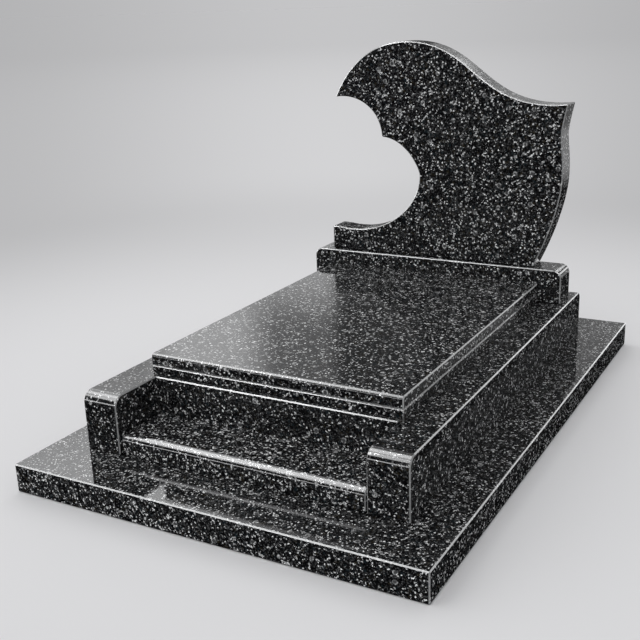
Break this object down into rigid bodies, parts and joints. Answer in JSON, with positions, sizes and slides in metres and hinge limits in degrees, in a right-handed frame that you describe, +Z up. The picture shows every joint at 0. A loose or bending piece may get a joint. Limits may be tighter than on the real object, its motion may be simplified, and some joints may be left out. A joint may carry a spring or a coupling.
{
  "type": "granite grave monument with headstone",
  "caption": "Polished dark granite grave monument: base slab, kerbs, front step, two-board tomb slab, headstone base and a wave-shaped headstone with a crescent cut out of one side.",
  "frame": {"origin": "centre of the base slab's underside, on the ground", "axes": "+Z up, +X to the right as seen from the foot of the grave, +Y from the foot of the grave towards the headstone"},
  "size_m": [1.4, 2.14, 1.2819],
  "materials": {
    "polished_granite": "mirror-polished dark granite with grey and pale flecks"
  },
  "bodies": {
    "root": {"base_slab": "polished_granite", "left_kerb": "polished_granite", "right_kerb": "polished_granite", "front_step": "polished_granite", "front_riser": "polished_granite", "back_kerb": "polished_granite", "under_slab": "polished_granite", "cover_slab": "polished_granite", "headstone_base": "polished_granite", "headstone": "polished_granite"}
  },
  "joints": []
}
